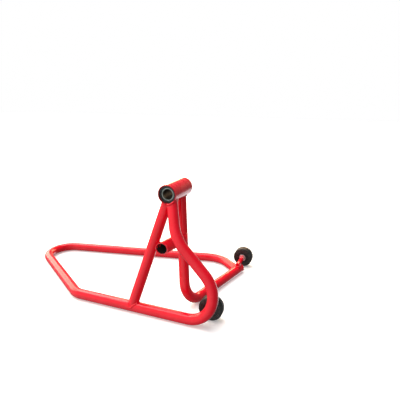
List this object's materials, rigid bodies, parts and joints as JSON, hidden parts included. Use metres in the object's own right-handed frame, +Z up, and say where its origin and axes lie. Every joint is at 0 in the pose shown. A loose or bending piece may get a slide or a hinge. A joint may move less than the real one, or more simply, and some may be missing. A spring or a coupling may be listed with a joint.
{
  "type": "paddock stand",
  "caption": "Paddock stand for a single-sided swingarm motorcycle: bent round-tube frame, bearing socket for an axle pin, open-ended cross tube and small wheels.",
  "frame": {"origin": "middle of the footprint, on the floor plane under the base tubes", "axes": "+X from the handle end towards the wheels, +Y along the axle from the outer side towards the motorcycle, +Z up"},
  "size_m": [0.763, 0.465, 0.367],
  "materials": {
    "red_paint": "gloss",
    "bearing_steel": "ground",
    "seal_rubber": "matte",
    "spring_steel": "phosphated",
    "zinc_steel": "zinc plated",
    "wheel_rubber": "matte",
    "wheel_nylon": "moulded",
    "bronze": "sintered",
    "white_nylon": "moulded"
  },
  "bodies": {
    "frame": {"main_tube": "red_paint", "left_leg": "red_paint", "rear_tube": "red_paint", "lower_cross_tube": "red_paint", "rear_tube_end_cap": "red_paint", "socket_tube": "red_paint", "near_wheel_stud": "red_paint", "far_wheel_stud": "red_paint", "near_bearing_outer_race": "bearing_steel", "far_bearing_outer_race": "bearing_steel", "near_bearing_outboard_seal": "seal_rubber", "near_bearing_inboard_seal": "seal_rubber", "far_bearing_inboard_seal": "seal_rubber", "far_bearing_outboard_seal": "seal_rubber", "near_circlip": "spring_steel", "far_circlip": "spring_steel", "near_inner_washer": "zinc_steel", "near_outer_washer": "zinc_steel", "near_lock_nut": "zinc_steel", "far_inner_washer": "zinc_steel", "far_outer_washer": "zinc_steel", "far_lock_nut": "zinc_steel", "near_wheel_bush": "bronze", "far_wheel_bush": "bronze", "near_nut_insert": "white_nylon", "far_nut_insert": "white_nylon"},
    "near_wheel": {"near_wheel_tyre": "wheel_rubber", "near_wheel_core": "wheel_nylon"},
    "far_wheel": {"far_wheel_tyre": "wheel_rubber", "far_wheel_core": "wheel_nylon"},
    "pin_carrier": {"pin_sleeve": "bearing_steel", "near_bearing_inner_race": "bearing_steel", "far_bearing_inner_race": "bearing_steel"},
    "near_ball_cage": {"near_bearing_caged_balls": "bearing_steel"},
    "far_ball_cage": {"far_bearing_caged_balls": "bearing_steel"}
  },
  "joints": [
    {"name": "near_wheel_spin", "type": "hinge", "parent": "frame", "child": "near_wheel", "pos_m": [0.34752, -0.17055, 0.0355], "axis": [0, 1, 0], "continuous": true},
    {"name": "far_wheel_spin", "type": "hinge", "parent": "frame", "child": "far_wheel", "pos_m": [0.34752, 0.20245, 0.0355], "axis": [0, 1, 0], "continuous": true},
    {"name": "pin_carrier_spin", "type": "hinge", "parent": "frame", "child": "pin_carrier", "pos_m": [0.21052, -0.10555, 0.34], "axis": [0, 1, 0], "continuous": true},
    {"name": "near_ball_cage_spin", "type": "hinge", "parent": "frame", "child": "near_ball_cage", "pos_m": [0.21052, -0.15505, 0.34], "axis": [0, 1, 0], "continuous": true},
    {"name": "far_ball_cage_spin", "type": "hinge", "parent": "frame", "child": "far_ball_cage", "pos_m": [0.21052, -0.05605, 0.34], "axis": [0, 1, 0], "continuous": true}
  ],
  "couplings": [
    {"joint": "near_ball_cage_spin", "follows": "pin_carrier_spin", "ratio": 0.4325},
    {"joint": "far_ball_cage_spin", "follows": "pin_carrier_spin", "ratio": 0.4325}
  ]
}
